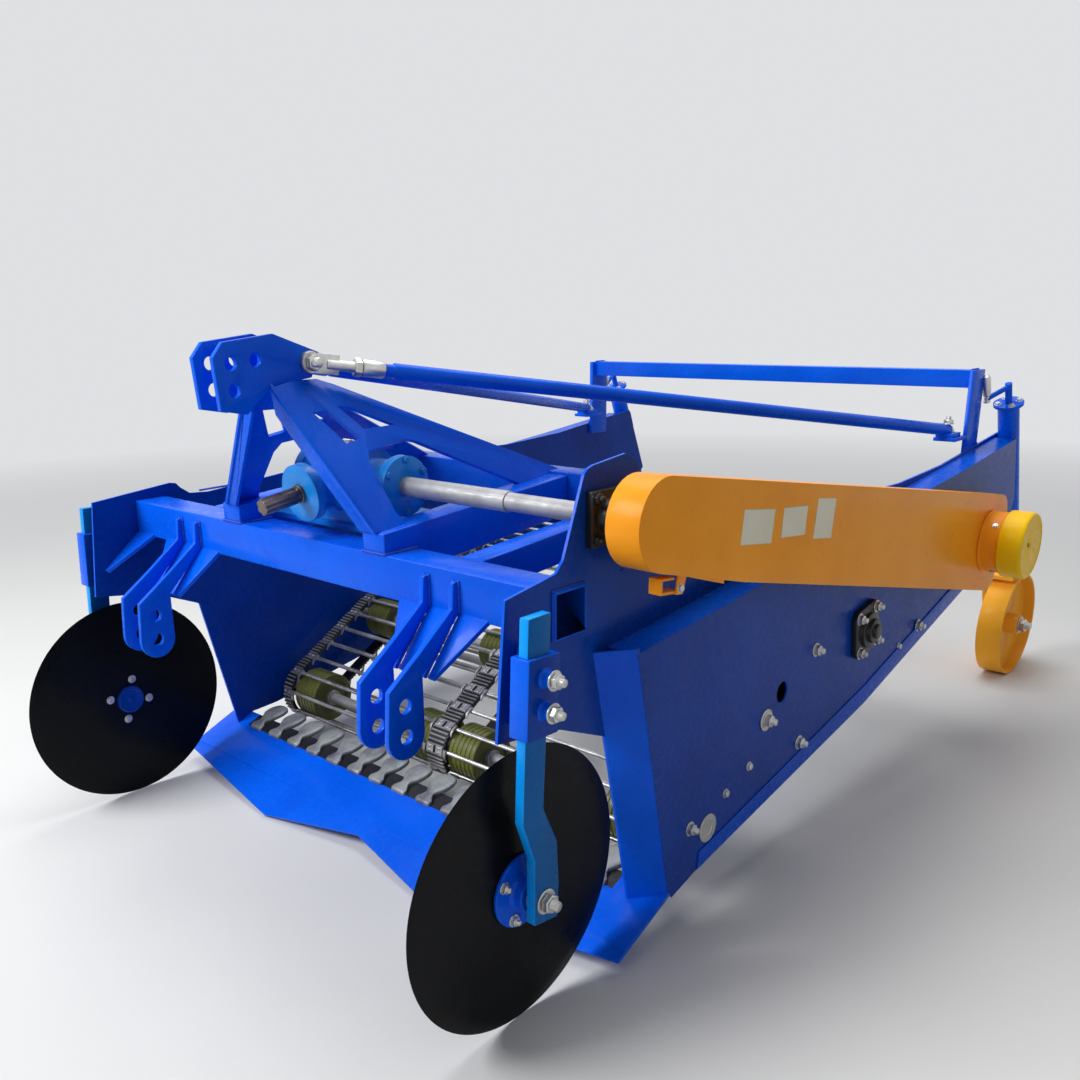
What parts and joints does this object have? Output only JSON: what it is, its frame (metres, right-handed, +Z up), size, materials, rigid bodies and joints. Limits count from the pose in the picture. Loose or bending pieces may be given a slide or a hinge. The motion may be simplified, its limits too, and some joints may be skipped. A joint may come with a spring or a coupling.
{
  "type": "potato digger",
  "caption": "Mounted potato digger: coulter discs, flat share, rod-link web conveyor between side walls, side drive case, sloping mast with stays, and screw-jack rear support wheels.",
  "frame": {"origin": "on the floor, in the middle of the bounding box of the parked machine", "axes": "+Z up, -Y towards the tractor, +X towards the side with the drive case"},
  "size_m": [1.753, 2.888, 1.19],
  "materials": {
    "blue_paint": "gloss",
    "blue_frame": "gloss",
    "light_blue_paint": "gloss",
    "gearbox_paint": "gloss",
    "black_paint": "satin",
    "orange_paint": "gloss",
    "yellow_paint": "gloss",
    "zinc_steel": "satin",
    "olive_rubber": "matt"
  },
  "bodies": {
    "frame": {"front_beam": "blue_paint", "side_wall_left": "blue_frame", "side_wall_right": "blue_frame", "side_box_left": "blue_paint", "side_box_right": "blue_paint", "gearbox_rails": "blue_frame", "cross_channel": "blue_frame", "mast_plates": "blue_paint", "leg_plate_left": "blue_paint", "leg_plate_right": "blue_paint", "hitch_left": "blue_paint", "hitch_right": "blue_paint", "shank_clamp_left": "blue_paint", "shank_clamp_right": "blue_paint", "shank_left": "light_blue_paint", "shank_right": "light_blue_paint", "share": "blue_paint", "sieve_fingers": "zinc_steel", "rod_web_left": "zinc_steel", "rod_web_right": "zinc_steel", "nose_rollers": "zinc_steel", "carrier_rollers": "olive_rubber", "drive_rollers": "zinc_steel", "gearbox": "gearbox_paint", "shaft_bearing": "black_paint", "drive_case": "orange_paint", "drive_cap": "yellow_paint", "flange_bearing": "black_paint", "stays": "blue_paint", "rear_posts": "blue_paint", "jack_tube_left": "blue_paint", "jack_tube_right": "blue_paint"},
    "disc_left": {"disc_left": "black_paint"},
    "disc_right": {"disc_right": "black_paint"},
    "input_shaft": {"input_shaft": "zinc_steel"},
    "cross_shaft": {"cross_shaft": "zinc_steel"},
    "jack_leg_left": {"jack_leg_left": "zinc_steel"},
    "jack_leg_right": {"jack_leg_right": "zinc_steel"},
    "wheel_left": {"wheel_left": "orange_paint"},
    "wheel_right": {"wheel_right": "orange_paint"}
  },
  "joints": [
    {"name": "disc_left_spin", "type": "hinge", "parent": "frame", "child": "disc_left", "pos_m": [0.6245, -1.18202, 0.262], "axis": [1, 0, 0], "continuous": true},
    {"name": "disc_right_spin", "type": "hinge", "parent": "frame", "child": "disc_right", "pos_m": [-0.7635, -1.18202, 0.262], "axis": [1, 0, 0], "continuous": true},
    {"name": "cross_shaft_spin", "type": "hinge", "parent": "frame", "child": "cross_shaft", "pos_m": [0.2305, -0.96202, 0.886], "axis": [1, 0, 0], "continuous": true},
    {"name": "input_shaft_spin", "type": "hinge", "parent": "frame", "child": "input_shaft", "pos_m": [-0.0695, -0.96202, 0.886], "axis": [0, -0.9877, -0.1564], "continuous": true},
    {"name": "jack_left_slide", "type": "slide", "parent": "frame", "child": "jack_leg_left", "axis": [0, -0.3584, 0.9336], "range_m": [-0.12, 0.12]},
    {"name": "wheel_left_spin", "type": "hinge", "parent": "jack_leg_left", "child": "wheel_left", "pos_m": [0.6525, 1.27202, 0.172], "axis": [1, 0, 0], "continuous": true},
    {"name": "jack_right_slide", "type": "slide", "parent": "frame", "child": "jack_leg_right", "axis": [0, -0.3584, 0.9336], "range_m": [-0.12, 0.12]},
    {"name": "wheel_right_spin", "type": "hinge", "parent": "jack_leg_right", "child": "wheel_right", "pos_m": [-0.7915, 1.27202, 0.172], "axis": [1, 0, 0], "continuous": true}
  ],
  "couplings": [
    {"joint": "input_shaft_spin", "follows": "cross_shaft_spin", "ratio": 1}
  ]
}
